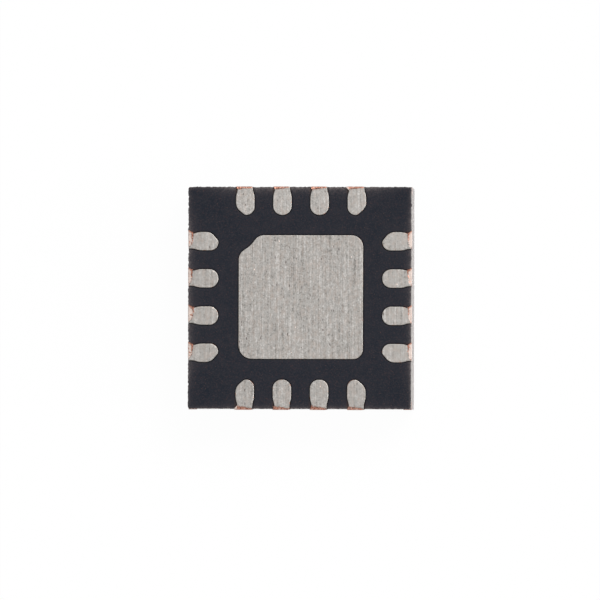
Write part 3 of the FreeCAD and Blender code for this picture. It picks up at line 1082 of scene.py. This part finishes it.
def copper_strip(side, slot, seed):
    """Upper and lower sheets of one strip, and how much painted highlight each point takes.

    Rows are stations along the cut, and columns are PROFILE's points: outwards and upwards in um,
    and the share of the depth inwards."""
    hang = HOOKED.get((side, slot), OVERHANG[side])
    t = np.linspace(0, 1, STATIONS)[:, None]
    v = -NECK_W / 2 - hang + t * (NECK_W * TORN_END[side] + hang - STRIP_SHORT)
    from_drag = np.clip((v + NECK_W / 2) / NECK_W, 0, 1)
    beyond = ramp(-v - NECK_W / 2, hang)
    ends = np.sqrt(1 - beyond ** 2) * np.sqrt(ramp(PAST_END - t, TAPER))
    depth = strip_depth(side, slot, from_drag, seed) * np.maximum(ends, THIN_END)
    out, up, share = PROFILE.T
    k = np.arange(len(share))
    q = out * UM * ends - share * depth
    ridges = rough_noise(t * 14, k * 0.6 + seed, seed + 3, 2) - 0.45
    inner = np.sin(np.pi * k / (len(k) - 1))
    z = up * UM * (0.4 + 0.6 * ends) + RIDGE * ridges * inner + LIFT * beyond * share
    wander = WANDER * (rough_noise(t * 22, k * 1.0, seed + 6, 2) - 0.5)
    across = v + SLANT * share * (1 - from_drag) + wander
    shine = strip_shine(side, slot, t, from_drag, beyond, depth, seed)
    if DRAG[side] > 0:
        across, q, z, shine = -across[::-1], q[::-1], z[::-1], shine[::-1]
    wall = wall_from_frame(side)
    upper = raised(to_side(across, wall + q, side, slot), z)
    inner_xy = to_side(across, wall + np.minimum(q, -BEHIND_WALL), side, slot)
    return upper, raised(inner_xy, np.minimum(z - SHEET, -UNDER)), shine


print("a strip is bent from", len(PROFILE), "profile points")

# %% Slivers
SLIVER_RINGS = 9
SLIVER_SIDES = 6
ARCH = 3 * UM
BLUNT = 0.04


def sliver(side, slot, start, stop, rise, radius):
    """A sliver between two (across, inwards) places; its radius follows a sine to sharp ends."""
    s = np.linspace(0, 1, SLIVER_RINGS)[:, None]
    turn = np.arange(SLIVER_SIDES) * 2 * math.pi / SLIVER_SIDES
    thick = radius * np.sin(np.pi * (BLUNT + (1 - 2 * BLUNT) * s)) ** 0.7
    along = np.array(stop) - np.array(start)
    beside = np.array([-along[1], along[0]]) / np.linalg.norm(along)
    v = start[0] + along[0] * s + beside[0] * thick * np.cos(turn)
    q = start[1] + along[1] * s ** 2 + beside[1] * thick * np.cos(turn)
    z = rise + ARCH * np.sin(np.pi * s) + thick * np.sin(turn)
    return raised(to_side(v, wall_from_frame(side) - q, side, slot), z).reshape(-1, 3)


def sliver_faces(start):
    """Sides and the two end caps of a sliver."""
    sides = grid_quads(SLIVER_RINGS, SLIVER_SIDES, start, closed=True)[:, ::-1].tolist()
    first = np.arange(SLIVER_SIDES) + start
    last = first + (SLIVER_RINGS - 1) * SLIVER_SIDES
    return sides + [first.tolist(), last[::-1].tolist()]


print("a sliver has", len(sliver_faces(0)), "faces")

# %% [markdown]
# ### Slivers on the strips
# Each strip carries a few slivers that lie along the cut, and two strips end in a curl of two
# thick ones that take the pale painted highlight. The pairs are lowest and highest values of random
# draws, lengths among them in um.

# %% Sixteen strips with their slivers
STROKES = (3, 2, 3, 4)
STROKE_SHARE = ((0.08, 0.70), (0.08, 0.40), (0.08, 0.70), (0.08, 0.40))
STROKE_LENGTH = (50, 110)
STROKE_DEPTH = (0.88, 1.04)
STROKE_SLOPE = (2, 16)
STROKE_RISE = (13, 16)
STROKE_R = (3.4, 5.4)
PAST_CORNER = 20 * UM
CURLS = ((10, 9.5), (14, 7.0))
CURL_SHARE = 0.95
CURL_ROOT = um(2, 52)


def slivers(side, slot, seed):
    """Start, stop, rise, radius and painted highlight of each sliver on a strip."""
    drag, dice = DRAG[side], np.random.default_rng(seed)
    found = []
    for _ in range(STROKES[side]):
        share = dice.uniform(*STROKE_SHARE[side])
        length = min(dice.uniform(*STROKE_LENGTH) * UM, share * NECK_W + PAST_CORNER)
        v = -drag * (share - 0.5) * NECK_W
        start = (v, bare_depth(side, land_depth[side, slot], share) * dice.uniform(*STROKE_DEPTH))
        stop = (v + drag * length, start[1] + dice.uniform(*STROKE_SLOPE) * UM)
        found.append((start, stop, dice.uniform(*STROKE_RISE) * UM, dice.uniform(*STROKE_R) * UM, 0))
    if (side, slot) in HOOKED:
        edge, curl = drag * NECK_W / 2, drag * HOOKED[side, slot]
        for lift, radius in CURLS:
            start = (edge + curl * CURL_SHARE, (lift - 2) * UM)
            stop = (edge - drag * CURL_ROOT[0], CURL_ROOT[1])
            found.append((start, stop, lift * UM, radius * UM, 1))
    return found


def strip_piece(side, slot, seed):
    """One piece: a strip's sheets closed into a shell, and its slivers, all faces outwards."""
    upper, lower, shine = copper_strip(side, slot, seed)
    rows, cols = upper.shape[:2]
    count = rows * cols
    border = ring_numbers(rows, cols)
    after = np.roll(border, -1)
    top = grid_quads(rows, cols)
    sides = np.stack([border, border + count, after + count, after], axis=1)
    faces = np.concatenate([top, (top + count)[:, ::-1], sides]).tolist()
    points = [upper.reshape(-1, 3), lower.reshape(-1, 3)]
    glow = [np.tile(shine.ravel(), 2)]
    for *shape, pale in slivers(side, slot, seed):
        faces += sliver_faces(sum(len(block) for block in points))
        points.append(sliver(side, slot, *shape))
        glow.append(np.full(len(points[-1]), pale))
    name = "dragged_copper_" + land_name(side, slot)
    marks = {"shine": np.concatenate(glow)}
    points = np.concatenate(points)
    return make_piece(name, points, faces, [COPPER_DRAGGED], marks=marks)


for side, slot in LANDS:
    strip_piece(side, slot, 200 + 20 * side + 5 * slot)
print("strips made")

# %% [markdown]
# ## Floor, backdrop and lamps
# The part lies on a plain white table under two large soft lamps. To the camera and in
# reflections the table and the surroundings are plain white; on the object they only give a
# quiet fill, so that the metal keeps its grey.

# %% White floor
FLOOR_HALF = 0.25
FLOOR_WHITE = 0.86
FLOOR_GLOW = 0.97
WHITE = (1, 1, 1, 1)


def white_floor():
    """A matte white plane that looks white to the camera but still takes a faint shadow."""
    s = FLOOR_HALF
    mesh = bpy.data.meshes.new("floor")
    mesh.from_pydata([(-s, -s, 0), (s, -s, 0), (s, s, 0), (-s, s, 0)], [], [(0, 1, 2, 3)])
    material, tree, _ = new_material("white_table")
    tree.nodes.clear()
    matte = add(tree, "BsdfDiffuse", {"Color": (*[FLOOR_WHITE] * 3, 1)})[0]
    glow = add(tree, "Emission", {"Color": WHITE, "Strength": 1.0})[0]
    path = add(tree, "LightPath")
    seen = math_node(tree, "MAXIMUM", path["Is Camera Ray"], path["Is Glossy Ray"])
    share = times(tree, seen, FLOOR_GLOW)
    lit = add(tree, "MixShader", {0: share, 1: matte, 2: glow})[0]
    clear = add(tree, "BsdfTransparent")[0]
    below = add(tree, "NewGeometry")["Backfacing"]
    both = add(tree, "MixShader", {0: below, 1: lit, 2: clear})[0]
    add(tree, "OutputMaterial", {"Surface": both})
    mesh.materials.append(material)
    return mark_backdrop(new_object("floor", mesh))


white_floor()
print("floor laid")

# %% Backdrop and lamps
FILL = 0.50
GLOSS = 0.80


def backdrop():
    """White to the camera and in reflections, and a quieter fill for everything else."""
    world = bpy.data.worlds.new("studio")
    bpy.context.scene.world = world
    world.use_nodes = True
    tree = world.node_tree
    tree.nodes.clear()
    path = add(tree, "LightPath")
    seen = math_node(tree, "MAXIMUM", path["Is Camera Ray"], path["Is Transmission Ray"])
    seen = math_node(tree, "MAXIMUM", seen, times(tree, path["Is Glossy Ray"], GLOSS))
    strength = math_node(tree, "MAXIMUM", seen, FILL)
    sky = add(tree, "Background", {"Color": WHITE, "Strength": strength})[0]
    add(tree, "OutputWorld", {"Surface": sky})


def lamp(name, place, size, watts):
    """A square lamp that faces the chip."""
    data = bpy.data.lights.new(name, "AREA")
    data.size = size
    data.energy = watts
    lamp_object = new_object(name, data)
    lamp_object.location = place
    lamp_object.rotation_mode = "QUATERNION"
    lamp_object.rotation_quaternion = (-Vector(place)).to_track_quat("-Z", "Y")


backdrop()
lamp("key", (0.16, 0.22, 0.30), 0.22, 1.25)
lamp("side", (0.34, -0.02, 0.14), 0.16, 0.55)
bpy.context.scene.view_settings.view_transform = "Standard"
print("lamps set")

# %% [markdown]
# ## Camera
# The photograph looks almost straight down through a long lens. The object's right wall is just
# seen as a pale line, so the camera stands a few degrees to the right of straight above.

# %% Camera
PHOTO_W = 600
PHOTO_SCALE = 74.54
CHIP_AT = (299.85, 298.16)
LENS = 400
ROLL = math.radians(0.17)
LEAN_RIGHT = math.radians(3.6)
LEAN_DOWN = math.radians(1.1)
SENSOR = 36.0
CLIP = (0.1, 100)
frame_w = PHOTO_W / PHOTO_SCALE * MM
away = frame_w * LENS / SENSOR
aim_x = (PHOTO_W / 2 - CHIP_AT[0]) / PHOTO_SCALE * MM
aim_y = (CHIP_AT[1] - PHOTO_W / 2) / PHOTO_SCALE * MM
aim = Vector((aim_x, aim_y, EPOXY_TOP))
upright = math.cos(LEAN_RIGHT) * math.cos(LEAN_DOWN)
back = Vector((math.sin(LEAN_RIGHT), -math.sin(LEAN_DOWN), upright)).normalized()
camera_data = bpy.data.cameras.new("camera")
camera_data.lens = LENS
camera_data.clip_start = away * CLIP[0]
camera_data.clip_end = away * CLIP[1]
camera = new_object("camera", camera_data)
camera.location = aim + back * away
camera.rotation_mode = "QUATERNION"
right = Vector((0, 1, 0)).cross(back).normalized()
level = Matrix((right, back.cross(right), back)).transposed()
camera.rotation_quaternion = (level @ Matrix.Rotation(ROLL, 3, "Z")).to_quaternion()
bpy.context.scene.camera = camera
print("camera %.1f mm away" % (away / MM))
